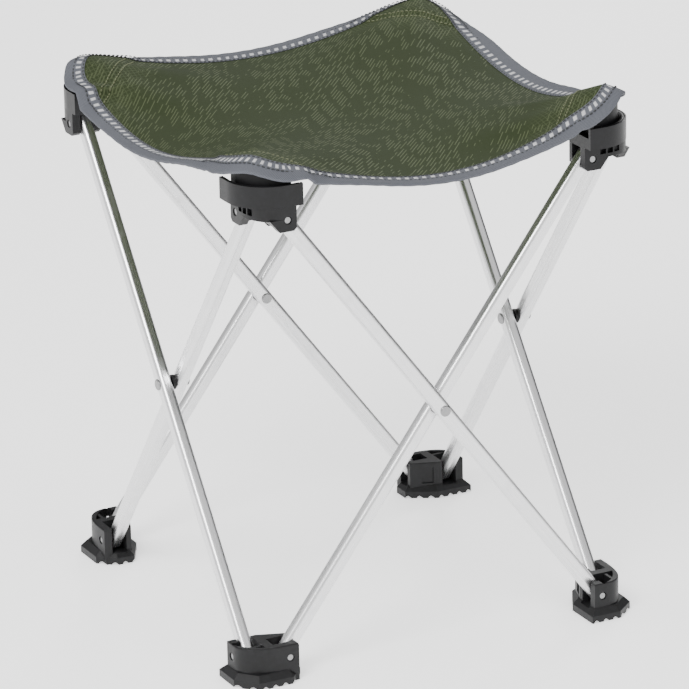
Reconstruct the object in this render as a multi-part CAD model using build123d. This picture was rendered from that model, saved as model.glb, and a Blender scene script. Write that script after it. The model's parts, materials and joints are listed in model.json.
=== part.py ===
"""Folding camp stool: four X-shaped pairs of aluminium tubes, four hubs, four feet and a fabric seat.

Millimetres, +Z up, origin on the floor under the middle of the seat, front towards -Y.
Everything repeats four times about Z. Each hub and foot has a short arm, which holds an outer
tube, and a long arm, which holds an inner tube and is set back by one tube spacing, so the
tubes of a side pass each other in two parallel planes.
"""
from build123d import *
from math import atan2, degrees, hypot, radians, sin
import os

# driving dimensions
PIVOT_HEIGHT = 365.0  # foot pins to hub pins
FOOT_PIN_Z = 20.0
HALF_SPAN = 137.5  # stool centre to a pin, along a side
OUTER_FACE = 177.0  # stool centre to the outer face of a short arm
TUBE_WIDTH = 12.5
TUBE_THICK = 11.0
TUBE_WALL = 1.2
TUBE_CORNER = 4.0
TUBE_GAP = 3.0  # between the two tubes of a side

# arms of a hub or foot, measured from the part's outer corner or its outer face
ARM_DEPTH = 24.5
SLOT_NEAR = 7.0
SLOT_FAR = 20.0
SLOT_REACH = 12.0  # from the pin into the part
ARM_PAST_PIN = 7.5
PIN_R = 2.4
RECESS_R = 3.2
RECESS = 0.8
RUNNING = 0.05  # radial clearance of a tube on its pin
TUBE_PAST_PIN = 6.0
RIVET_R = 2.0
RIVET_HEAD_R = 4.5
RIVET_HEAD = 1.2

FOOT_TOP = 31.0
FOOT_FLOOR = 9.0
FLANGE = 5.0
FLANGE_HEIGHT = 10.5
TREAD_PITCH = 8.7
TREAD_R = 2.4

HUB_BODY_TOP = 10.5  # this and the next two are measured from the hub pins
EAR_DROP = 9.0
CUP_TOP = 27.8
CUP_LONG = 48.0  # along the short arm's side
CUP_SHORT = 47.0
CUP_BACK = 5.0  # how far the cup's other side is set back
CUP_ROUND = 34.0
CUP_WALL = 3.2
CUP_FLOOR = 3.0
CUP_LOW_WALL = 9.0
RIM_GROOVE = 1.2
INSERT_GAP = 3.5
INSERT_WALL = 2.4
SCREW_AT = 27.0  # along x and y from the cup's outer corner
SCREW_R = 2.0
SCREW_REACH = 12.0
HEAD_R = 3.6
HEAD = 1.8

SEAT_REACH = 179.0
SEAT_ROUND = 48.0
SEAT_INWARD = 3.0
SEAT_THICK = 2.0
BINDING_WIDTH = 18.0
BINDING_THICK = 2.4
POCKET_REACH = 92.0  # corner pocket, measured from the seat corner along the diagonal
CUP_CLEAR = 2.9  # least height of the middle of the cloth over a cup rim
CORNER_HEIGHT = {"front_left": 435.0, "front_right": 452.0, "back_right": 441.0, "back_left": 437.0}
EDGE_SAG = {"front": 49.0, "right": 42.0, "back": 31.5, "left": 39.0}
# where along its side an edge hangs lowest, from -1 at the side's first corner to 1
EDGE_LEAN = {"front": 0.27, "right": -0.37, "back": -0.04, "left": -0.46}
EDGE_POWER = 1.3
# degrees the binding slopes down outwards, at the middle of a side and by its corners
MID_ROLL = {"front": -2.0, "right": -40.0, "back": -8.0, "left": -15.0}
END_ROLL = {"front": 27.0, "right": 32.0, "back": 10.0, "left": 11.0}

# worked out
SPACING = TUBE_THICK + TUBE_GAP
INNER_FACE = OUTER_FACE - SPACING
OUTER_PLANE = OUTER_FACE - (SLOT_NEAR + SLOT_FAR) / 2
INNER_PLANE = OUTER_PLANE - SPACING
HUB_PIN_Z = FOOT_PIN_Z + PIVOT_HEIGHT
MID_Z = FOOT_PIN_Z + PIVOT_HEIGHT / 2
SHORT_PIN = INNER_FACE - HALF_SPAN
LONG_PIN = OUTER_FACE - HALF_SPAN
SHORT_ARM = SHORT_PIN + ARM_PAST_PIN
LONG_ARM = LONG_PIN + ARM_PAST_PIN
CLOTH_BELOW = -BINDING_THICK / 2 - 1.6  # underside of the pockets, from the middle of the cloth

CORNERS = {"front_left": 0, "front_right": 90, "back_right": 180, "back_left": 270}
SIDES = {"front": 0, "right": 90, "back": 180, "left": 270}


def prism(points, low, high, round_long=0.0, round_short=0.0):
    """Upright prism of an outline whose first corner is rounded, more along x than along y."""
    pts = [Vector(*p) for p in points]
    edges = [Line(a, b) for a, b in zip(pts[1:-1], pts[2:])]
    if round_long:
        start, end = Vector(round_long, 0), Vector(0, round_short)
        edges = [Line(start, pts[1])] + edges + [Line(pts[-1], end), Bezier(end, pts[0], start)]
    else:
        edges = [Line(pts[0], pts[1])] + edges + [Line(pts[-1], pts[0])]
    face = make_face(Wire(edges).edges())
    return Pos(0, 0, low) * extrude(face, high - low, dir=(0, 0, 1))


def block(x0, x1, y0, y1, z0, z1):
    return Pos((x0 + x1) / 2, (y0 + y1) / 2, (z0 + z1) / 2) * Box(x1 - x0, y1 - y0, z1 - z0)


def along_y(x, z, radius, y0, y1):
    return Pos(x, (y0 + y1) / 2, z) * Rot(90, 0, 0) * Cylinder(radius, y1 - y0)


def along_x(y, z, radius, x0, x1):
    return Pos((x0 + x1) / 2, y, z) * Rot(0, 90, 0) * Cylinder(radius, x1 - x0)


def arms_outline(inset=0.0):
    """Long arm along x, short arm along y, joined inside by a slanting face."""
    return [(inset, inset), (LONG_ARM, inset), (LONG_ARM, ARM_DEPTH), (ARM_DEPTH, SHORT_ARM),
            (inset, SHORT_ARM)]


def arm_slots(low, high, reach):
    """The two slots that take the tube ends, open at the ends of the arms."""
    long_slot = block(LONG_PIN - reach, LONG_ARM + 9, SLOT_NEAR, SLOT_FAR, low, high)
    short_slot = block(SLOT_NEAR, SLOT_FAR, SHORT_PIN - reach, SHORT_ARM + 9, low, high)
    return long_slot + short_slot


def pin_bores(z):
    bores = along_y(LONG_PIN, z, PIN_R, -1, ARM_DEPTH - 1)
    bores += along_x(SHORT_PIN, z, PIN_R, -1, ARM_DEPTH - 1)
    recesses = along_y(LONG_PIN, z, RECESS_R, -1, RECESS)
    recesses += along_x(SHORT_PIN, z, RECESS_R, -1, RECESS)
    return bores + recesses


def pins(z):
    """Both pins of a corner, sunk a little below the outer faces."""
    return [along_y(LONG_PIN, z, PIN_R, RECESS, ARM_DEPTH - 1),
            along_x(SHORT_PIN, z, PIN_R, RECESS, ARM_DEPTH - 1)]


def make_foot(turn):
    body = prism(arms_outline(), 0, FOOT_TOP, 38, 22)
    body = fillet(body.edges().group_by(Axis.Z)[-1], 1.2)
    flange = prism(
        [(9, -FLANGE), (LONG_PIN, -FLANGE), (LONG_ARM + FLANGE, 9), (LONG_ARM + FLANGE, ARM_DEPTH),
         (ARM_DEPTH + 3, SHORT_ARM + FLANGE), (-FLANGE, SHORT_ARM + FLANGE), (-FLANGE, 12)],
        0, FLANGE_HEIGHT)
    flange = chamfer(flange.edges().group_by(Axis.Z)[-1], FLANGE - 0.4)
    # the slots run on towards the corner, as far as a wall that follows the round outside
    wall_line = prism(arms_outline(SLOT_NEAR - 1.5), FOOT_FLOOR, FOOT_TOP + 5, 40, 24)
    slots = arm_slots(FOOT_FLOOR, FOOT_TOP + 5, SLOT_REACH)
    corner_hollow = block(0, SLOT_FAR, 0, SHORT_PIN, FOOT_FLOOR + 6, FOOT_TOP + 5)
    foot = body + flange - slots - (corner_hollow & wall_line) - pin_bores(FOOT_PIN_Z)
    web = block(SLOT_NEAR, SLOT_FAR, SHORT_PIN - SLOT_REACH - 2.4, SHORT_PIN - SLOT_REACH, 1, FOOT_TOP - 1)
    inner_pocket = Pos(33, 31, 19) * Rot(0, 0, -20) * Box(10, 5, 14)
    foot = foot + web - inner_pocket
    placed = place_foot(foot, turn)
    centre = placed.bounding_box().center()
    for i in range(-4, 5):
        x = centre.X + i * TREAD_PITCH
        placed -= along_y(x, -0.2, TREAD_R, centre.Y - 60, centre.Y + 60)
    return placed


def place_foot(shape, turn):
    """Long arm along the side that follows the corner, short arm along the side before it."""
    return Rot(0, 0, turn) * Pos(-OUTER_FACE, -INNER_FACE, 0) * shape


def place_hub(shape, turn):
    """A hub is a foot's mirror: long arm along the side before the corner."""
    return Rot(0, 0, turn) * Pos(-INNER_FACE, -OUTER_FACE, 0) * mirror_xy(shape)


def mirror_xy(shape):
    """Swap x and y."""
    return shape.mirror(Plane((0, 0, 0), x_dir=(0, 0, 1), z_dir=(1, -1, 0)))


def ear(pin, z):
    """Side view of an ear: a long slope inwards, a small corner at the arm's end."""
    drop = z - EAR_DROP
    side = [(pin - 15, z + 1), (pin - 7, drop), (pin + 5, drop), (pin + ARM_PAST_PIN, drop + 2.5),
            (pin + ARM_PAST_PIN, z + 1)]
    face = make_face(Polyline([(x, 0, height) for x, height in side], close=True).edges())
    return extrude(face, ARM_DEPTH, dir=(0, 1, 0))


def make_hub(turn):
    z = HUB_PIN_Z
    body = prism(arms_outline(), z, z + HUB_BODY_TOP, 30, 24)
    hollow = prism([(13, 11), (25, 11), (25, 17), (19, 23), (11, 13)], z - 1, z + 6)
    hub = body + ear(LONG_PIN, z) + mirror_xy(ear(SHORT_PIN, z))
    for i in range(3):
        x = 14.5 + 6.6 * i
        hub -= block(x, x + 5.2, -1, 4.2, z + 3, z + 8.5)
    # the way up to the insert screw, under the cup floor
    well = Pos(SCREW_AT + CUP_BACK - SPACING, SCREW_AT, z) * Cylinder(HEAD_R + 0.7, 2 * HUB_BODY_TOP)
    hub = hub - hollow - mirror_xy(well)
    hub = place_hub(hub, turn) + make_cup(turn)
    return hub - place_hub(arm_slots(z - EAR_DROP - 5, z + 9.4, SLOT_REACH - 2) + pin_bores(z), turn)


def cup_outline(inset):
    """Rounded outer corner near (0, 0), two flat sides and two inner ends."""
    near, bend = inset, CUP_ROUND
    far_x, far_y = CUP_LONG - inset, CUP_SHORT - inset
    middle = bend - (bend - near) * 0.70711
    arc = ThreePointArc((near, bend), (middle, middle), (bend, near))
    edges = [arc, Line((bend, near), (far_x, near)), Line((far_x, near), (far_x, far_y)),
             Line((far_x, far_y), (near, far_y)), Line((near, far_y), (near, bend))]
    return make_face(Wire(edges).edges())


def cup_solid(inset, low, high):
    return Pos(0, 0, low) * extrude(cup_outline(inset), high - low, dir=(0, 0, 1))


def make_cup(turn):
    """Open cup above the arms that the seat corner sits in."""
    low, high = HUB_PIN_Z + HUB_BODY_TOP, HUB_PIN_Z + CUP_TOP
    cup = cup_solid(0, low, high) - cup_solid(CUP_WALL, low + CUP_FLOOR, high + 1)
    # the two inner ends are lower than the outer wall
    end_x, end_y = CUP_LONG - CUP_WALL - 0.5, CUP_SHORT - CUP_WALL - 0.5
    cup -= block(end_x, CUP_LONG + 1, CUP_WALL, CUP_SHORT + 1, low + CUP_LOW_WALL, high + 1)
    cup -= block(CUP_WALL, CUP_LONG + 1, end_y, CUP_SHORT + 1, low + CUP_LOW_WALL, high + 1)
    groove = cup_solid(RIM_GROOVE, high - 1.2, high + 1) - cup_solid(RIM_GROOVE + 0.8, high - 2, high + 2)
    cup -= groove
    cup -= Pos(SCREW_AT, SCREW_AT, low) * Cylinder(SCREW_R, 20)
    return place_cup(cup, turn)


def place_cup(shape, turn):
    return Rot(0, 0, turn) * Pos(CUP_BACK - OUTER_FACE, -OUTER_FACE, 0) * shape


def make_insert(turn):
    """Hollow block inside the seat's corner pocket, screwed down into the cup."""
    low = HUB_PIN_Z + HUB_BODY_TOP + CUP_FLOOR
    inset = CUP_WALL + INSERT_GAP
    tall = 60
    solid = cup_solid(inset, low, low + tall)
    top = seat_layer(CLOTH_BELOW, -tall)
    cavity = cup_solid(inset + INSERT_WALL, low - 1, low + SCREW_REACH - 3)
    boss = Pos(SCREW_AT, SCREW_AT, low + SCREW_REACH / 2) * Cylinder(5, SCREW_REACH)
    insert = place_cup(solid, turn) & top
    insert = insert - place_cup(cavity, turn) + place_cup(boss, turn)
    return insert - place_cup(Pos(SCREW_AT, SCREW_AT, low) * Cylinder(SCREW_R, 2 * SCREW_REACH), turn)


def make_screw(turn):
    """Pan-head screw up through the cup floor into the insert's boss."""
    low = HUB_PIN_Z + HUB_BODY_TOP
    length = CUP_FLOOR + SCREW_REACH
    shank = Pos(SCREW_AT, SCREW_AT, low + length / 2) * Cylinder(SCREW_R, length)
    head = Pos(SCREW_AT, SCREW_AT, low - HEAD / 2) * Cylinder(HEAD_R, HEAD)
    cross = Pos(SCREW_AT, SCREW_AT, low - HEAD) * (Box(4.2, 0.9, 1.4) + Box(0.9, 4.2, 1.4))
    return place_cup(shank + head - cross, turn)


def make_tube(turn, outer):
    """Tube in the front side's frame, from a foot pin to a hub pin, then turned to its side."""
    lean = 1 if not outer else -1
    plane = OUTER_PLANE if outer else INNER_PLANE
    length = (PIVOT_HEIGHT**2 + (2 * HALF_SPAN)**2) ** 0.5
    angle = lean * degrees(atan2(2 * HALF_SPAN, PIVOT_HEIGHT))
    profile = RectangleRounded(TUBE_WIDTH, TUBE_THICK, TUBE_CORNER)
    bore = RectangleRounded(TUBE_WIDTH - 2 * TUBE_WALL, TUBE_THICK - 2 * TUBE_WALL, TUBE_CORNER - TUBE_WALL)
    full = length + 2 * TUBE_PAST_PIN
    tube = Pos(0, 0, -full / 2) * extrude(profile - bore, full, dir=(0, 0, 1))
    for z in (-length / 2, length / 2):
        tube -= Pos(0, 0, z) * Rot(90, 0, 0) * Cylinder(PIN_R + RUNNING, 40)
    rivet_hole = RIVET_R if outer else RIVET_R + RUNNING
    tube -= Rot(90, 0, 0) * Cylinder(rivet_hole, 40)
    return Rot(0, 0, turn) * Pos(0, -plane, MID_Z) * Rot(0, angle, 0) * tube


def make_rivet(turn):
    """Rivet through both tubes of a side, domed on both faces."""
    out = OUTER_PLANE + TUBE_THICK / 2
    inn = INNER_PLANE - TUBE_THICK / 2 - 0.1
    shank = along_y(0, MID_Z, RIVET_R, -out, -inn)
    heads = along_y(0, MID_Z, RIVET_HEAD_R, -out - RIVET_HEAD, -out)
    heads += along_y(0, MID_Z, RIVET_HEAD_R, -inn, -inn + RIVET_HEAD)
    rims = heads.edges().filter_by(GeomType.CIRCLE).sort_by(Axis.Y)
    heads = fillet([rims[0], rims[-1]], RIVET_HEAD * 0.7)
    return Rot(0, 0, turn) * (shank + heads)


def make_spacer(turn):
    out = OUTER_PLANE - TUBE_THICK / 2
    inn = out - TUBE_GAP + 0.1
    ring = along_y(0, MID_Z, 6.0, -out, -inn) - along_y(0, MID_Z, RIVET_R, -out - 1, -inn + 1)
    return Rot(0, 0, turn) * ring


def seat_outline(inset):
    """Rounded square whose sides bow inwards a little, shrunk by inset."""
    centre = SEAT_REACH - SEAT_ROUND
    reach = SEAT_REACH - inset
    radius = SEAT_ROUND - inset
    edges = []
    for turn in SIDES.values():
        side = ThreePointArc((-centre, -reach), (0, -reach + SEAT_INWARD), (centre, -reach))
        bend = centre + radius * 0.70711
        corner = ThreePointArc((centre, -reach), (bend, -bend), (reach, -centre))
        edges += [Rot(0, 0, turn) * side, Rot(0, 0, turn) * corner]
    return make_face(Wire(edges).edges())


def clamp(value):
    return min(max(value, -1.0), 1.0)


def edge_drop(side, along):
    """How far a seat edge hangs below the straight line between its corners."""
    return EDGE_SAG[side] * (1 - along * along) ** EDGE_POWER * (1 + EDGE_LEAN[side] * along)


def smooth(value):
    value = min(max(value, 0.0), 1.0)
    return value * value * (3 - 2 * value)


def roll_slope(side, along):
    """Sine of the binding's slope at a place on one side."""
    share = smooth((abs(along) - 0.3) / 0.55)
    return sin(radians(MID_ROLL[side] + (END_ROLL[side] - MID_ROLL[side]) * share))


def seat_height(x, y):
    """Height of the cloth: its corners' heights less the drop of the edges, weighted by nearness."""
    inner = SEAT_REACH - BINDING_WIDTH
    centre = SEAT_REACH - SEAT_ROUND
    u, v = clamp(x / SEAT_REACH), clamp(y / SEAT_REACH)
    p, q = clamp(x / inner), clamp(y / inner)
    shares = {"front_left": (1 - p) * (1 - q), "front_right": (1 + p) * (1 - q),
              "back_right": (1 + p) * (1 + q), "back_left": (1 - p) * (1 + q)}
    level = sum(CORNER_HEIGHT[corner] * share for corner, share in shares.items()) / 4
    near = 0.02
    weights = {"front": 1 / (1 + near + q)**2, "back": 1 / (1 + near - q)**2,
               "left": 1 / (1 + near + p)**2, "right": 1 / (1 + near - p)**2}
    places = {"front": u, "right": v, "back": -u, "left": -v}
    drop = sum(weights[side] * edge_drop(side, places[side]) for side in SIDES)
    # outside the panel the binding slopes by its own angle, mixed round the corners
    beyond = max(hypot(max(abs(x) - centre, 0), max(abs(y) - centre, 0)) - SEAT_ROUND + BINDING_WIDTH, 0)
    facing = smooth(0.5 + (abs(x) - abs(y)) / 90)
    across = "right" if x > 0 else "left"
    ahead = "back" if y > 0 else "front"
    slope = facing * roll_slope(across, places[across]) + (1 - facing) * roll_slope(ahead, places[ahead])
    height = level - drop / sum(weights.values()) - min(beyond, BINDING_WIDTH + 2) * slope
    if min(abs(x), abs(y)) > OUTER_FACE - CUP_BACK - CUP_LONG - 8:
        height = max(height, HUB_PIN_Z + CUP_TOP + CUP_CLEAR)
    return height


def seat_layer(top, bottom):
    """Closed sheet between two copies of the dished surface, over the whole square."""
    span = SEAT_REACH + 6
    steps = 27
    grid = [-span + 2 * span * i / (steps - 1) for i in range(steps)]
    points = [[Vector(x, y, seat_height(x, y)) for y in grid] for x in grid]
    surface = Face.make_surface_from_array_of_points(points)
    return extrude(Pos(0, 0, bottom) * surface, top - bottom, dir=(0, 0, 1))


def column(outline):
    return Pos(0, 0, 340) * extrude(outline, 180, dir=(0, 0, 1))


def make_panel():
    return seat_layer(SEAT_THICK / 2, -SEAT_THICK / 2) & column(seat_outline(BINDING_WIDTH))


def make_binding():
    ring = column(seat_outline(0)) - column(seat_outline(BINDING_WIDTH))
    return seat_layer(BINDING_THICK / 2, -BINDING_THICK / 2) & ring


def make_pocket(turn):
    """Second layer sewn under a seat corner, which the corner insert slides into."""
    high = -SEAT_THICK / 2 - 0.1
    corner = Pos(-SEAT_REACH, -SEAT_REACH, 340)
    cut = corner * prism([(0, 0), (POCKET_REACH, 0), (0, POCKET_REACH)], 0, 180)
    inner = column(seat_outline(BINDING_WIDTH + 0.5))
    return seat_layer(high, high - 1.2) & inner & (Rot(0, 0, turn) * cut)


def build():
    nodes = {}
    for corner, turn in CORNERS.items():
        nodes[f"foot_{corner}"] = make_foot(turn)
        nodes[f"foot_pins_{corner}"] = Compound([place_foot(p, turn) for p in pins(FOOT_PIN_Z)])
        nodes[f"hub_{corner}"] = make_hub(turn)
        nodes[f"hub_pins_{corner}"] = Compound([place_hub(p, turn) for p in pins(HUB_PIN_Z)])
        nodes[f"corner_insert_{corner}"] = make_insert(turn)
        nodes[f"insert_screw_{corner}"] = make_screw(turn)
        nodes[f"corner_pocket_{corner}"] = make_pocket(turn)
    for side, turn in SIDES.items():
        nodes[f"outer_tube_{side}"] = make_tube(turn, True)
        nodes[f"inner_tube_{side}"] = make_tube(turn, False)
        nodes[f"rivet_{side}"] = make_rivet(turn)
        nodes[f"spacer_{side}"] = make_spacer(turn)
    nodes["seat_panel"] = make_panel()
    nodes["seat_binding"] = make_binding()
    return nodes


os.makedirs("parts", exist_ok=True)
for name, shape in build().items():
    export_step(shape, f"parts/{name}.step")
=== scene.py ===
"""Folding camp stool: materials, fabric seat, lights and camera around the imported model.

Metres, +Z up, front towards -Y. The seat is one stretched cloth. It rides on one hub, and a
node group carries its other three corners with the other three hubs as the stool folds.
"""
import bpy
import json
from math import atan2, cos, hypot, pi, radians, sin, sqrt
from mathutils import Matrix, Vector, noise

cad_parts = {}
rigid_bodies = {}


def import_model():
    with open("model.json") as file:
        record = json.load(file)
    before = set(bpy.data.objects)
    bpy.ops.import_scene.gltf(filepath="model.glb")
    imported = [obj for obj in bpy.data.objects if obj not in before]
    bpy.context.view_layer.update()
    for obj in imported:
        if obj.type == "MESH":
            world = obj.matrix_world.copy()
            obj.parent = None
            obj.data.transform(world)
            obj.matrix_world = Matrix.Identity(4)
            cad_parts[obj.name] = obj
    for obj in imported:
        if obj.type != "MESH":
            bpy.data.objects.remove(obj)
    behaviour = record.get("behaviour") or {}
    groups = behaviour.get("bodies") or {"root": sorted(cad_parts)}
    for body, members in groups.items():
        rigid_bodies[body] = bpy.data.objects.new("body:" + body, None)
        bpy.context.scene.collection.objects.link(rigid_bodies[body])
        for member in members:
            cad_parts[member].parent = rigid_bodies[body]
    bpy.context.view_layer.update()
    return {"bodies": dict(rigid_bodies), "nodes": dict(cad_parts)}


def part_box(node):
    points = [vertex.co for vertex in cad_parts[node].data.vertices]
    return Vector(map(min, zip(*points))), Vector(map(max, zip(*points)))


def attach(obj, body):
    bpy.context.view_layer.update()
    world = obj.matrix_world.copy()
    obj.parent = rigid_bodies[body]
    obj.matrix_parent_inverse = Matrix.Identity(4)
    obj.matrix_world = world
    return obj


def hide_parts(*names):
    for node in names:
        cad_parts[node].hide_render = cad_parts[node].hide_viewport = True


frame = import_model()

# sizes read from the frame
PANEL_LOW, PANEL_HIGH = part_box("seat_panel")
RING_LOW, RING_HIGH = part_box("seat_binding")
TUBE_LOW, TUBE_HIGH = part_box("outer_tube_front")
FOOT_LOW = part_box("foot_front_left")[0]
REACH = (RING_HIGH[0] - RING_LOW[0]) / 2
INNER = (PANEL_HIGH[0] - PANEL_LOW[0]) / 2
BAND = REACH - INNER
HUB_FREE = REACH - 0.056  # the cloth outside this, in x and y, is held by a hub

# shape of the seat, the same as the model's
ROUND = 0.048
CENTRE = REACH - ROUND
INWARD = 0.003
CORNER_HEIGHT = {"front_left": 0.435, "front_right": 0.4495, "back_right": 0.441, "back_left": 0.437}
EDGE_SAG = {"front": 0.049, "right": 0.042, "back": 0.0315, "left": 0.042}
EDGE_LEAN = {"front": 0.27, "right": -0.37, "back": -0.04, "left": -0.46}
EDGE_POWER = 1.3
MID_ROLL = {"front": 4.0, "right": -22.0, "back": -8.0, "left": 0.0}
END_ROLL = {"front": 32.0, "right": 34.0, "back": 14.0, "left": 32.0}
CUP_FREE = 0.117  # outside this, in x and y, the cloth is over a cup
OVER_CUP = 0.4158

CLOTH = 0.0014  # thicknesses
WEBBING = 0.0024
SEAM_AT = 0.266  # |x| + |y| of the seam across a corner
SEAM_GAP = 0.0055
STITCH = 0.0027
STITCH_PITCH = 0.0038
THREAD = 0.00048

# patterns of the fabrics
WEAVE = 0.0011
LINING_WEAVE = 0.0013
GRID = 0.0034
FLOAT_ROW = 0.0026  # between rows of light floats, and along a row
FLOAT_STEP = 0.026
RIB = 0.0016
BLOCK_STEP = 0.0076  # along the webbing, and where the blocks lie across it
BLOCK_LOW = 0.0034
BLOCK_HIGH = 0.0076

# the folding cloth
TIP_SOFT = 0.004  # rounds the lowest fold
TUCK_DROP = 0.010  # the drop by which the outer cloth has tucked in, and how much of it does
TUCK_SHARE = 0.78
PLEAT_DROP = 0.05
PLEAT = 0.0085

SIDES = ("front", "right", "back", "left")
CORNERS = ("front_left", "front_right", "back_right", "back_left")
SIGNS = {"front_left": (-1, -1), "front_right": (1, -1), "back_right": (1, 1), "back_left": (-1, 1)}


def clamp(value, low=-1.0, high=1.0):
    return min(max(value, low), high)


def smooth(value):
    value = clamp(value, 0.0, 1.0)
    return value * value * (3 - 2 * value)


def edge_drop(side, along):
    return EDGE_SAG[side] * (1 - along * along) ** EDGE_POWER * (1 + EDGE_LEAN[side] * along)


def roll_slope(side, along):
    share = smooth((abs(along) - 0.3) / 0.55)
    return sin(radians(MID_ROLL[side] + (END_ROLL[side] - MID_ROLL[side]) * share))


def seat_height(x, y):
    """Height of the middle of the cloth."""
    u, v = clamp(x / REACH), clamp(y / REACH)
    p, q = clamp(x / INNER), clamp(y / INNER)
    level = sum(
        CORNER_HEIGHT[name] * (1 + sx * p) * (1 + sy * q) / 4 for name, (sx, sy) in SIGNS.items())
    near = 1.02
    weights = {"front": (near + q)**-2, "back": (near - q)**-2,
               "left": (near + p)**-2, "right": (near - p)**-2}
    places = {"front": u, "right": v, "back": -u, "left": -v}
    drop = sum(weights[side] * edge_drop(side, places[side]) for side in SIDES)
    beyond = max(hypot(max(abs(x) - CENTRE, 0), max(abs(y) - CENTRE, 0)) - ROUND + BAND, 0)
    facing = smooth(0.5 + (abs(x) - abs(y)) / 0.09)
    across = "right" if x > 0 else "left"
    ahead = "back" if y > 0 else "front"
    slope = facing * roll_slope(across, places[across]) + (1 - facing) * roll_slope(ahead, places[ahead])
    height = level - drop / sum(weights.values()) - min(beyond, BAND + 0.002) * slope
    if min(abs(x), abs(y)) > CUP_FREE:
        height = max(height, OVER_CUP)
    return height


# ---------------------------------------------------------------- node trees

class Num:
    """A number inside a node tree, so that a formula can be written as one."""

    def __init__(self, tree, socket):
        self.tree = tree
        self.socket = socket

    def math(self, kind, *others):
        node = self.tree.nodes.new("ShaderNodeMath")
        node.operation = kind
        for place, value in enumerate((self, *others)):
            if isinstance(value, Num):
                self.tree.links.new(value.socket, node.inputs[place])
            else:
                node.inputs[place].default_value = value
        return Num(self.tree, node.outputs[0])

    def __add__(self, other):
        return self.math("ADD", other)

    __radd__ = __add__

    def __mul__(self, other):
        return self.math("MULTIPLY", other)

    __rmul__ = __mul__

    def __sub__(self, other):
        return self.math("SUBTRACT", other)

    def __rsub__(self, other):
        return self * -1 + other

    def limit(self, low, high):
        return self.math("MAXIMUM", low).math("MINIMUM", high)

    def root(self):
        return self.math("MAXIMUM", 0.0).math("SQRT")

    def below(self, edge, soft):
        """1 under the edge, 0 over it, with a ramp of that width."""
        return ((edge - self) * (1 / soft) + 0.5).limit(0.0, 1.0)

    def eased(self):
        share = self.limit(0.0, 1.0)
        return share * share * (3 - 2 * share)


def split(tree, vector_socket):
    node = tree.nodes.new("ShaderNodeSeparateXYZ")
    tree.links.new(vector_socket, node.inputs[0])
    return [Num(tree, output) for output in node.outputs]


def join(tree, x, y, z):
    node = tree.nodes.new("ShaderNodeCombineXYZ")
    for place, value in enumerate((x, y, z)):
        if isinstance(value, Num):
            tree.links.new(value.socket, node.inputs[place])
        else:
            node.inputs[place].default_value = value
    return node.outputs[0]


def noise_of(tree, vector, scale, detail=3.0):
    node = tree.nodes.new("ShaderNodeTexNoise")
    node.inputs["Scale"].default_value = scale
    node.inputs["Detail"].default_value = detail
    tree.links.new(vector, node.inputs["Vector"])
    return Num(tree, node.outputs["Fac"])


def mix(tree, share, first, second):
    node = tree.nodes.new("ShaderNodeMix")
    node.data_type = "RGBA"
    tree.links.new(share.socket, node.inputs["Factor"])
    for place, colour in ((6, first), (7, second)):
        if isinstance(colour, tuple):
            node.inputs[place].default_value = (*colour, 1)
        else:
            tree.links.new(colour, node.inputs[place])
    return node.outputs[2]


def grey(level, blue=0.0):
    return (level, level, level + blue)


def material(name, rough, metal=0.0):
    made = bpy.data.materials.new(name)
    made.use_nodes = True
    tree = made.node_tree
    shader = tree.nodes["Principled BSDF"]
    shader.inputs["Roughness"].default_value = rough
    shader.inputs["Metallic"].default_value = metal
    return made, tree, shader


def bump(tree, shader, height, distance, strength=1.0):
    node = tree.nodes.new("ShaderNodeBump")
    node.inputs["Distance"].default_value = distance
    node.inputs["Strength"].default_value = strength
    tree.links.new(height.socket, node.inputs["Height"])
    tree.links.new(node.outputs["Normal"], shader.inputs["Normal"])


def place_of(tree):
    return tree.nodes.new("ShaderNodeTexCoord").outputs["Object"]


def flat_place(tree):
    node = tree.nodes.new("ShaderNodeUVMap")
    node.uv_map = "cloth"
    return split(tree, node.outputs["UV"])


# ---------------------------------------------------------------- materials

def aluminium(name, axis):
    """Satin drawn tube: fine streaks along its axis, faint scuffs."""
    made, tree, shader = material(name, 0.3, 1.0)
    x, y, z = split(tree, place_of(tree))
    along = x * axis[0] + y * axis[1] + z * axis[2]
    drawn = join(tree, x - along * axis[0], y - along * axis[1], along * 0.012)
    streaks = noise_of(tree, drawn, 1500, 2)
    scuffs = noise_of(tree, join(tree, x, y, z), 60, 6)
    wear = (scuffs - 0.56).limit(0.0, 0.2) * 2.0
    tone = mix(tree, streaks, grey(0.70, 0.006), grey(0.84, 0.008))
    tree.links.new(mix(tree, wear, tone, grey(0.66)), shader.inputs["Base Color"])
    tree.links.new((0.22 + streaks * 0.12 + wear * 0.25).socket, shader.inputs["Roughness"])
    bump(tree, shader, streaks, 0.00003, 0.5)
    return made


def steel(name):
    made, tree, shader = material(name, 0.3, 1.0)
    spots = noise_of(tree, place_of(tree), 700, 4)
    # painted shade: the steel's grey levels are darkened so the recessed pin ends look as dark as the
    # shaded pin holes; the rivets share this dark steel, and the spots are random tone
    tree.links.new(mix(tree, spots, grey(0.20), grey(0.36, 0.005)), shader.inputs["Base Color"])
    tree.links.new((0.2 + spots * 0.22).socket, shader.inputs["Roughness"])
    bump(tree, shader, spots, 0.00004, 0.5)
    return made


def moulded(name, dark, light, rough):
    """Fine-grained moulded plastic, a little paler where it has been rubbed."""
    made, tree, shader = material(name, rough)
    spot = place_of(tree)
    grain = noise_of(tree, spot, 1900, 3)
    cloud = noise_of(tree, spot, 45, 4)
    rub = noise_of(tree, spot, 220, 6)
    share = (cloud * 0.5 + (rub - 0.5) * 0.9 + grain * 0.12).limit(0.0, 1.0)
    tree.links.new(mix(tree, share, grey(dark), grey(light, 0.002)), shader.inputs["Base Color"])
    tree.links.new((rough - 0.08 + rub * 0.18).socket, shader.inputs["Roughness"])
    shader.inputs["Specular IOR Level"].default_value = 0.22
    bump(tree, shader, grain, 0.00012, 0.5)
    return made


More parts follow.
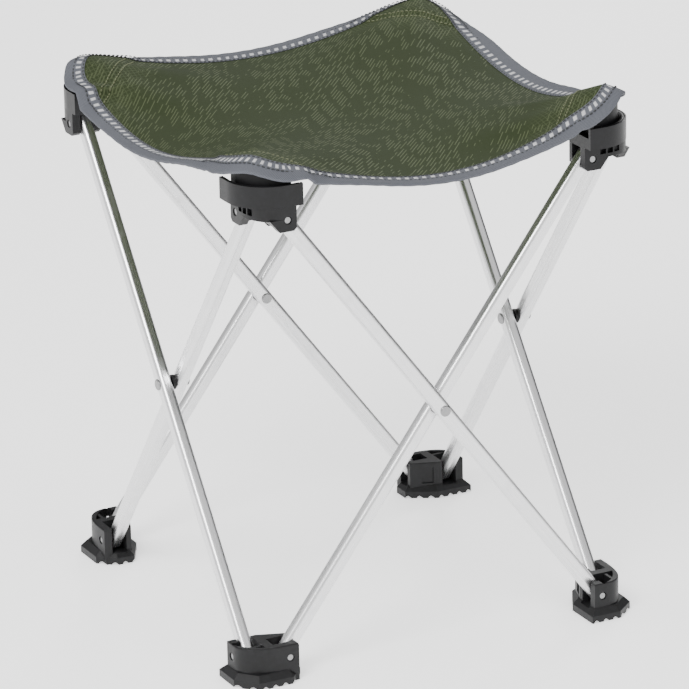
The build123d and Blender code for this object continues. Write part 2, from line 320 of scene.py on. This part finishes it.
def seat_cloth(name):
    """Olive polyester: plain weave, slanting light floats in drifts, a fine grid by the corners."""
    made, tree, shader = material(name, 0.72)
    x, y = flat_place(tree)[:2]
    along = (x + y) * 0.7071
    across = (x - y) * 0.7071
    row = (across * (1 / FLOAT_ROW)).math("FLOOR")
    chance = tree.nodes.new("ShaderNodeTexWhiteNoise")
    chance.noise_dimensions = "1D"
    tree.links.new(row.socket, chance.inputs["W"])
    start = Num(tree, chance.outputs["Value"])
    step = (along * (1 / FLOAT_STEP) + start * 7.3).math("FRACT")
    spread = noise_of(tree, join(tree, along * 0.55, across, 0.0), 34, 2)
    reach = ((spread - 0.38) * 4.0).limit(0.0, 0.66)
    line = (across * (1 / FLOAT_ROW)).math("FRACT")
    off_line = (line - 0.5).math("ABSOLUTE")
    floats = step.below(reach, 0.04) * off_line.below(0.15, 0.1)
    # the fine grid
    near_corner = ((x.math("ABSOLUTE") + y.math("ABSOLUTE") - 0.225) * 40).limit(0.0, 1.0)
    grid_x = ((x * (1 / GRID)).math("FRACT") - 0.5).math("ABSOLUTE").below(0.1, 0.1)
    grid_y = ((y * (1 / GRID)).math("FRACT") - 0.5).math("ABSOLUTE").below(0.1, 0.1)
    grid = grid_x.math("MAXIMUM", grid_y) * near_corner
    warp = (x * (2 * pi / WEAVE)).math("SINE")
    weft = (y * (2 * pi / WEAVE)).math("SINE")
    weave = warp * weft * 0.5 + 0.5
    cloud = noise_of(tree, join(tree, x, y, 0.0), 12, 4)
    ground = mix(tree, weave, (0.0130, 0.0205, 0.0056), (0.0280, 0.0400, 0.0125))
    ground = mix(tree, cloud * 0.5, ground, (0.0240, 0.0325, 0.0115))
    lit = (floats * 0.62).math("MAXIMUM", grid * 0.3)
    tree.links.new(mix(tree, lit, ground, (0.088, 0.106, 0.050)), shader.inputs["Base Color"])
    tree.links.new((0.78 - lit * 0.25).socket, shader.inputs["Roughness"])
    shader.inputs["Specular IOR Level"].default_value = 0.2
    bump(tree, shader, weave * 0.6 + lit * 1.2, 0.00022, 0.8)
    return made


def webbing(name):
    """Grey herringbone tape with white reflective blocks woven into its inner half."""
    made, tree, shader = material(name, 0.66)
    run, over = flat_place(tree)[:2]
    fold = (over - BAND / 2).math("ABSOLUTE")
    ribs = ((run + fold * 1.1) * (1 / RIB)).math("FRACT")
    rib = 1 - (ribs - 0.5).math("ABSOLUTE") * 2
    yarn = noise_of(tree, join(tree, run, over, 0.0), 1500, 2)
    cell = (run * (1 / BLOCK_STEP)).math("FLOOR")
    chance = tree.nodes.new("ShaderNodeTexWhiteNoise")
    chance.noise_dimensions = "1D"
    tree.links.new(cell.socket, chance.inputs["W"])
    vary = Num(tree, chance.outputs["Value"])
    inside = ((run + over * 0.3) * (1 / BLOCK_STEP)).math("FRACT")
    block = inside.below(0.36 + vary * 0.14, 0.10)
    middle = (BLOCK_LOW + BLOCK_HIGH) / 2
    width = (over - middle).math("ABSOLUTE").below((BLOCK_HIGH - BLOCK_LOW) / 2, 0.0008)
    white = block * width * (0.72 + yarn * 0.4)
    share = rib * 0.62 + yarn * 0.4
    ground = mix(tree, share.limit(0.0, 1.0), (0.032, 0.034, 0.040), (0.150, 0.157, 0.180))
    colour = mix(tree, white.limit(0.0, 1.0), ground, (0.52, 0.52, 0.53))
    tree.links.new(colour, shader.inputs["Base Color"])
    tree.links.new((0.74 - white * 0.2).socket, shader.inputs["Roughness"])
    shader.inputs["Specular IOR Level"].default_value = 0.25
    bump(tree, shader, rib * 0.9 + yarn * 0.4 + white * 0.5, 0.00028, 0.8)
    return made


def lining(name):
    """Plain dark underside cloth."""
    made, tree, shader = material(name, 0.8)
    x, y = flat_place(tree)[:2]
    warp = (x * (2 * pi / LINING_WEAVE)).math("SINE")
    weft = (y * (2 * pi / LINING_WEAVE)).math("SINE")
    weave = warp * weft * 0.5 + 0.5
    cloud = noise_of(tree, join(tree, x, y, 0.0), 20, 3)
    ground = mix(tree, weave, (0.030, 0.036, 0.020), (0.060, 0.070, 0.038))
    tree.links.new(mix(tree, cloud * 0.4, ground, (0.05, 0.055, 0.04)), shader.inputs["Base Color"])
    bump(tree, shader, weave, 0.0002, 0.7)
    return made


def thread(name, dark, light):
    made, tree, shader = material(name, 0.6)
    twist = noise_of(tree, place_of(tree), 2600, 2)
    tree.links.new(mix(tree, twist, dark, light), shader.inputs["Base Color"])
    bump(tree, shader, twist, 0.0001, 0.6)
    return made


# ---------------------------------------------------------------- meshes

def new_object(name, verts, faces, look, uvs=None):
    mesh = bpy.data.meshes.new(name)
    mesh.from_pydata(verts, [], faces)
    if uvs:
        layer = mesh.uv_layers.new(name="cloth")
        for corner in mesh.loops:
            layer.data[corner.index].uv = uvs[corner.vertex_index]
    for face in mesh.polygons:
        face.use_smooth = True
    mesh.materials.append(look)
    mesh.validate()
    made = bpy.data.objects.new(name, mesh)
    bpy.context.collection.objects.link(made)
    return made


def relief(x, y):
    """Small local shape of the cloth over its formula: pocket edges, pull lines, slackness."""
    near = abs(x) + abs(y)
    pocket = 0.0022 * smooth((near - SEAM_AT + 0.004) / 0.014)
    seam = -0.0007 * sum(
        1 - smooth(abs(near - at) / 0.004) for at in (SEAM_AT, SEAM_AT + SEAM_GAP * sqrt(2)))
    # pull lines fan out from each corner and die away towards the middle
    bearing = atan2(REACH - abs(y), REACH - abs(x))
    away = hypot(REACH - abs(x), REACH - abs(y))
    pull = 0.0009 * sin(bearing * 15) * smooth((away - 0.05) / 0.04) * (1 - smooth((away - 0.09) / 0.09))
    slack = 0.0011 * noise.noise(Vector((x * 17, y * 17, 2.5)))
    edge = smooth((INNER - max(abs(x), abs(y))) / 0.012)
    return pocket + (seam + pull + slack) * edge


def cloth_top(x, y):
    return seat_height(x, y) + relief(x, y)


def cloth_plan(a, b, reach, corner_round):
    """Point of a square grid, pulled in at the corners to fill a rounded square."""
    if a == 0 and b == 0:
        return 0.0, 0.0
    big = max(abs(a), abs(b))
    small = min(abs(a), abs(b)) / big
    # distance to the outline against distance to the square, in this direction
    flat = (reach - corner_round) / reach
    share = 1.0
    if small > flat:
        k = reach - corner_round
        dot = k * (1 + small)
        size = 1 + small * small
        share = (dot + sqrt(dot * dot - size * (2 * k * k - corner_round**2))) / size / reach
    share = 1 + (share - 1) * big**6
    return a * reach * share, b * reach * share


def make_panel(look):
    """Two-sided sheet whose edge lies inside the binding."""
    count = 128
    tuck = 0.003
    reach = INNER + tuck
    corner_round = ROUND - BAND + tuck
    verts, uvs, faces = [], [], []
    for lift in (CLOTH / 2, -CLOTH / 2):
        for i in range(count + 1):
            for j in range(count + 1):
                x, y = cloth_plan(2 * i / count - 1, 2 * j / count - 1, reach, corner_round)
                # the two faces come together at the edge
                out = max(abs(i - count / 2), abs(j - count / 2)) / (count / 2)
                squeeze = 1 - 0.999 * smooth((out - 0.985) / 0.015)
                verts.append((x, y, cloth_top(x, y) + lift * squeeze))
                uvs.append((x, y))
    layer = (count + 1)**2

    def at(i, j, side):
        return side * layer + i * (count + 1) + j

    for i in range(count):
        for j in range(count):
            faces.append((at(i, j, 0), at(i + 1, j, 0), at(i + 1, j + 1, 0), at(i, j + 1, 0)))
            faces.append((at(i, j, 1), at(i, j + 1, 1), at(i + 1, j + 1, 1), at(i + 1, j, 1)))
    for i in range(count):
        for j in (0, count):
            rim = (at(i, j, 0), at(i + 1, j, 0), at(i + 1, j, 1), at(i, j, 1))
            faces.append(rim if j else rim[::-1])
            rim = (at(j, i, 0), at(j, i + 1, 0), at(j, i + 1, 1), at(j, i, 1))
            faces.append(rim[::-1] if j else rim)
    return new_object("seat_cloth", verts, faces, look, uvs)


def outline(inset, side_steps=44, corner_steps=16):
    """Points round the seat, from the front left corner's end of the front side."""
    reach, bend = REACH - inset, ROUND - inset
    points = []
    for turn in range(4):
        ring = []
        for i in range(side_steps):
            t = 2 * i / side_steps - 1
            ring.append((CENTRE * t, -reach + INWARD * (1 - t * t)))
        for i in range(corner_steps):
            angle = pi / 2 * i / corner_steps
            ring.append((CENTRE + bend * sin(angle), -CENTRE - bend * cos(angle)))
        turned = Matrix.Rotation(pi / 2 * turn, 2)
        points += [turned @ Vector(p) for p in ring]
    return points


def band_frames(inner_inset, outer_inset):
    """For each station: inner point, outer point and the upward normal of the band."""
    inner = [Vector((*p, cloth_top(*p))) for p in outline(inner_inset)]
    outer = [Vector((*p, seat_height(*p))) for p in outline(outer_inset)]
    frames = []
    for k, (near, far) in enumerate(zip(inner, outer)):
        ahead = outer[(k + 1) % len(outer)] - outer[k - 1]
        normal = ahead.cross(near - far).normalized()
        frames.append((near, far, normal))
    return frames


def make_binding(look):
    """Webbing folded over the cloth's edge: two leaves joined by a rounded fold."""
    frames = band_frames(BAND, 0.0008)
    half = WEBBING / 2
    leaf = 8
    profile = [(i / leaf * 0.94, 1.0) for i in range(leaf + 1)]
    profile += [(0.94 + 0.06 * sin(pi * i / 6), cos(pi * i / 6)) for i in range(1, 6)]
    profile += [((leaf - i) / leaf * 0.94, -1.0) for i in range(leaf + 1)]
    lengths = [0.0]
    for k in range(len(frames)):
        lengths.append(lengths[-1] + (frames[(k + 1) % len(frames)][1] - frames[k][1]).length)
    verts, uvs, faces = [], [], []
    size = len(profile)
    for k in range(len(frames) + 1):
        near, far, normal = frames[k % len(frames)]
        ripple = 0.00022 * sin(lengths[k] * 2 * pi / 0.0152)
        across = 0.0
        last = None
        for share, lift in profile:
            puff = 0.00045 * sin(pi * clamp(share, 0, 1)) * lift
            spot = near.lerp(far, share) + normal * (half * lift + puff + ripple * share)
            if last is not None:
                across += (spot - last).length
            last = spot
            verts.append(tuple(spot))
            uvs.append((lengths[k], across))
    for k in range(len(frames)):
        for i in range(size - 1):
            a, b = k * size + i, (k + 1) * size + i
            faces.append((a, b, b + 1, a + 1)[::-1])
    return new_object("edge_webbing", verts, faces, look, uvs)


def make_stitches(name, runs, look):
    """One mesh of short raised threads. runs holds (start, end, up) for each stitch."""
    verts, faces = [], []
    sides = 6
    # place along the stitch, thickness and height, in threads
    shape = ((0, 0.5, -0.2), (0.2, 0.95, 0.5), (0.5, 1.05, 0.8), (0.8, 0.95, 0.5), (1, 0.5, -0.2))
    for start, end, up in runs:
        along = (end - start).normalized()
        aside = along.cross(up).normalized()
        first = len(verts)
        for share, girth, lift in shape:
            for k in range(sides):
                angle = 2 * pi * k / sides
                ring = aside * cos(angle) * 1.25 + up * sin(angle)
                verts.append(tuple(start.lerp(end, share) + (ring * girth + up * lift) * THREAD))
        for r in range(4):
            for k in range(sides):
                a, b = first + r * sides + k, first + r * sides + (k + 1) % sides
                faces.append((a, b, b + sides, a + sides))
        faces.append(tuple(first + k for k in range(sides))[::-1])
        faces.append(tuple(first + 4 * sides + k for k in range(sides)))
    return new_object(name, verts, faces, look)


def stitch_line(points):
    """Evenly spaced stitches along a line of (position, up) pairs."""
    runs = []
    walked, want = 0.0, 0.0
    start = None
    for (p, up), (q, up_next) in zip(points, points[1:]):
        step = (q - p).length
        while want <= walked + step:
            spot = p.lerp(q, (want - walked) / step)
            if start is None:
                start = spot
                want += STITCH
            else:
                runs.append((start, spot, up))
                start = None
                want += STITCH_PITCH - STITCH
        walked += step
    return runs


def on_cloth(x, y, lift):
    d = 0.002
    across = Vector((2 * d, 0, cloth_top(x + d, y) - cloth_top(x - d, y)))
    ahead = Vector((0, 2 * d, cloth_top(x, y + d) - cloth_top(x, y - d)))
    up = across.cross(ahead).normalized()
    return Vector((x, y, cloth_top(x, y))) + up * lift, up


def corner_runs():
    """Double seam across each corner."""
    runs = []
    for sx, sy in SIGNS.values():
        for row in range(2):
            total = SEAM_AT + row * SEAM_GAP * sqrt(2)
            steps = 60
            span = 2 * INNER - total
            line = []
            for i in range(steps + 1):
                x = INNER - 0.002 - (span - 0.004) * i / steps
                line.append(on_cloth(sx * x, sy * (total - x), CLOTH / 2))
            runs += stitch_line(line)
    return runs


def edge_runs(inset):
    frames = band_frames(inset, 0.0008)
    line = [(near + normal * WEBBING / 2, normal) for near, far, normal in frames]
    return stitch_line(line + line[:1])


def make_pocket(corner, look):
    """Second layer under a corner, bagged over the insert."""
    sx, sy = SIGNS[corner]
    steps = 30
    near, far = HUB_FREE + 0.0015, INNER - 0.0015
    bend = ROUND - BAND
    verts, uvs, faces = [], [], []
    for lift in (-0.0017, -0.0027):
        for i in range(steps + 1):
            for j in range(steps + 1):
                a, b = i / steps, j / steps
                # the outer corner is pulled in to a round one
                pull = 1 - (bend * 0.29289 / (far - near)) * (a * b)**3
                x = sx * (near + (far - near) * a * pull)
                y = sy * (near + (far - near) * b * pull)
                verts.append((x, y, cloth_top(x, y) + lift))
                uvs.append((x, y))
    row = steps + 1
    layer = row * row
    for i in range(steps):
        for j in range(steps):
            k = i * row + j
            top = (k, k + row, k + row + 1, k + 1)
            faces.append(top if sx * sy > 0 else top[::-1])
            low = tuple(v + layer for v in top)
            faces.append(low[::-1] if sx * sy > 0 else low)
    rim = [i * row for i in range(steps)] + [steps * row + j for j in range(steps)]
    rim += [i * row + steps for i in range(steps, 0, -1)] + list(range(steps, 0, -1))
    for k, m in zip(rim, rim[1:] + rim[:1]):
        wall = (k, m, m + layer, k + layer)
        faces.append(wall[::-1] if sx * sy > 0 else wall)
    return new_object(f"pocket_cloth_{corner}", verts, faces, look, uvs)


# ---------------------------------------------------------------- folding

def fold_group():
    """Each corner goes with its own hub; the cloth between drops into the folding frame."""
    tree = bpy.data.node_groups.new("fold_with_hubs", "GeometryNodeTree")
    tree.interface.new_socket("Geometry", in_out="INPUT", socket_type="NodeSocketGeometry")
    tree.interface.new_socket("Geometry", in_out="OUTPUT", socket_type="NodeSocketGeometry")
    start = tree.nodes.new("NodeGroupInput")
    end = tree.nodes.new("NodeGroupOutput")
    move = {}
    for corner in CORNERS:
        node = tree.nodes.new("GeometryNodeObjectInfo")
        node.transform_space = "RELATIVE"
        node.inputs["Object"].default_value = frame["bodies"][f"hub_{corner}"]
        move[corner] = split(tree, node.outputs["Location"])
    x, y, z = split(tree, tree.nodes.new("GeometryNodeInputPosition").outputs[0])
    free = HUB_FREE
    cx = (x * (1 / free)).limit(-1.0, 1.0)
    cy = (y * (1 / free)).limit(-1.0, 1.0)
    shares = {}
    for corner, (sx, sy) in SIGNS.items():
        shares[corner] = (cx * sx + 1) * (cy * sy + 1) * 0.25
    shift = []
    for axis in range(3):
        total = move[CORNERS[0]][axis] * shares[CORNERS[0]]
        for corner in CORNERS[1:]:
            total = total + move[corner][axis] * shares[corner]
        shift.append(total)
    # how much of the span between hubs is left, along x and along y
    left_x = ((move["front_right"][0] - move["front_left"][0]) * (0.5 / free) + 1).limit(-1.0, 1.0)
    left_y = ((move["back_left"][1] - move["front_left"][1]) * (0.5 / free) + 1).limit(-1.0, 1.0)
    bow_x = (1 - left_x * left_x).root()
    bow_y = (1 - left_y * left_y).root()
    tip = sqrt(1 + TIP_SOFT)
    deep_x = (tip - (cx * cx + TIP_SOFT).root()) * bow_x
    deep_y = (tip - (cy * cy + TIP_SOFT).root()) * bow_y
    drop = (deep_x * deep_x + deep_y * deep_y).root() * free
    # the part outside the hubs' span tucks in as it drops, and the middle falls into pleats
    tucked = (drop * (1 / TUCK_DROP)).eased() * TUCK_SHARE
    over_x = x - cx * free
    over_y = y - cy * free
    pleat = (drop * (1 / PLEAT_DROP)).eased() * bow_x * bow_y * PLEAT
    wave_x = (cy * 8.5 + cx * 2.0).math("SINE") * pleat
    wave_y = (cx * 8.5 - cy * 2.0).math("SINE") * pleat
    new_x = x + shift[0] - over_x * tucked + wave_x
    new_y = y + shift[1] - over_y * tucked + wave_y
    new_z = z + shift[2] - drop
    put = tree.nodes.new("GeometryNodeSetPosition")
    tree.links.new(start.outputs[0], put.inputs["Geometry"])
    tree.links.new(join(tree, new_x, new_y, new_z), put.inputs["Position"])
    tree.links.new(put.outputs[0], end.inputs[0])
    return tree


def fold_with(piece, group):
    piece.modifiers.new("fold_with_hubs", "NODES").node_group = group


# ---------------------------------------------------------------- CAD nodes

def paint(node, look):
    piece = frame["nodes"][node]
    if not piece.material_slots:
        piece.data.materials.append(look)
    for place in piece.material_slots:
        place.material = look


def paint_frame():
    hub_plastic = moulded("hub_plastic", 0.0060, 0.0135, 0.36)
    foot_plastic = moulded("foot_plastic", 0.0075, 0.0180, 0.44)
    inner_plastic = moulded("insert_plastic", 0.004, 0.009, 0.5)
    # the pins, foot pins and insert screws take the dark steel whose colour holds the painted shade of
    # their holes
    pin_metal_painted_shade = steel("pin_steel_painted_shade")
    rivet_metal = steel("rivet_steel")
    for corner in CORNERS:
        paint(f"hub_{corner}", hub_plastic)
        paint(f"foot_{corner}", foot_plastic)
        paint(f"corner_insert_{corner}", inner_plastic)
        for kind in ("hub_pins", "foot_pins", "insert_screw"):
            paint(f"{kind}_{corner}", pin_metal_painted_shade)
    rise = TUBE_HIGH[2] - TUBE_LOW[2]
    run = TUBE_HIGH[0] - TUBE_LOW[0]
    size = hypot(rise, run)
    for turn, side in enumerate(SIDES):
        paint(f"rivet_{side}", rivet_metal)
        paint(f"spacer_{side}", inner_plastic)
        for kind, lean in (("outer_tube", -1), ("inner_tube", 1)):
            level = lean * run / size
            axis = (level * cos(turn * pi / 2), level * sin(turn * pi / 2), rise / size)
            paint(f"{kind}_{side}", aluminium(f"{kind}_{side}_metal", axis))


# ---------------------------------------------------------------- seat

def build_seat():
    group = fold_group()
    cloth = make_panel(seat_cloth("olive_polyester"))
    tape = make_binding(webbing("grey_webbing"))
    light_thread = thread("seam_thread", (0.045, 0.055, 0.022), (0.16, 0.175, 0.09))
    dark_thread = thread("edge_thread", (0.012, 0.013, 0.014), (0.04, 0.042, 0.045))
    seams = make_stitches("corner_seams", corner_runs(), light_thread)
    edge = make_stitches("edge_seam", edge_runs(BAND - 0.0012), dark_thread)
    edge_two = make_stitches("outer_edge_seam", edge_runs(BAND - 0.0092), dark_thread)
    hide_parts("seat_panel")
    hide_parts("seat_binding")
    pocket_look = lining("pocket_lining")
    for corner in CORNERS:
        pocket = make_pocket(corner, pocket_look)
        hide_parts(f"corner_pocket_{corner}")
        fold_with(pocket, group)
        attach(pocket, f"hub_{corner}")
    for piece in (cloth, tape, seams, edge, edge_two):
        fold_with(piece, group)
        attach(piece, "hub_front_left")


# ---------------------------------------------------------------- studio

def make_floor():
    bpy.ops.mesh.primitive_plane_add(size=14, location=(0, 0, FOOT_LOW[2] - 0.0002))
    floor = bpy.context.object
    floor.name = "floor"
    made, tree, shader = material("floor_paper", 0.9)
    shade = noise_of(tree, place_of(tree), 3, 2)
    tree.links.new(mix(tree, shade, grey(0.97), grey(0.985)), shader.inputs["Base Color"])
    shader.inputs["Emission Color"].default_value = (1, 1, 1, 1)
    shader.inputs["Emission Strength"].default_value = 0.9
    floor.data.materials.append(made)


def area_light(name, place, target, size, power):
    data = bpy.data.lights.new(name, "AREA")
    data.shape = "DISK"
    data.size = size
    data.energy = power
    lamp = bpy.data.objects.new(name, data)
    lamp.location = place
    aim = Vector(target) - Vector(place)
    lamp.rotation_euler = aim.to_track_quat("-Z", "Y").to_euler()
    bpy.context.collection.objects.link(lamp)


def make_lights():
    world = bpy.data.worlds.new("studio")
    world.use_nodes = True
    tree = world.node_tree
    back = tree.nodes["Background"]
    # one side of the room is dark, so that the metal shows its form
    x, y, z = split(tree, tree.nodes.new("ShaderNodeTexCoord").outputs["Generated"])
    toward_key = x * -0.80 + y * -0.25
    side = ((toward_key + 0.35) * 1.1).eased()
    room = side.math("MAXIMUM", ((z - 0.45) * 3).eased())
    tree.links.new(mix(tree, room, grey(0.07), grey(1.0)), back.inputs["Color"])
    back.inputs["Strength"].default_value = 1.25
    bpy.context.scene.world = world
    middle = (0, 0, 0.25)
    area_light("key", (-1.7, -1.2, 2.3), middle, 1.4, 70)
    area_light("front", (0.8, -2.6, 1.1), middle, 1.2, 16)
    area_light("rim", (1.6, 1.7, 1.7), middle, 1.0, 24)


def make_camera():
    azimuth, elevation, roll = radians(-27.06), radians(19.67), radians(-1.18)
    distance = 4.0
    target = Vector((0, 0, 0.2025))
    back = Vector((sin(azimuth) * cos(elevation), -cos(azimuth) * cos(elevation), sin(elevation)))
    right = Vector((cos(azimuth), sin(azimuth), 0))
    up = back.cross(right)
    across = cos(roll) * right + sin(roll) * up
    rise = cos(roll) * up - sin(roll) * right
    data = bpy.data.cameras.new("camera")
    data.sensor_width = 36
    data.lens = 257.4
    data.shift_x = -0.0023
    data.shift_y = 0.0057
    camera = bpy.data.objects.new("camera", data)
    turn = Matrix((across, rise, back)).transposed().to_4x4()
    camera.matrix_world = Matrix.Translation(target + back * distance) @ turn
    bpy.context.collection.objects.link(camera)
    bpy.context.scene.camera = camera


make_camera()
make_floor()
make_lights()
paint_frame()
build_seat()
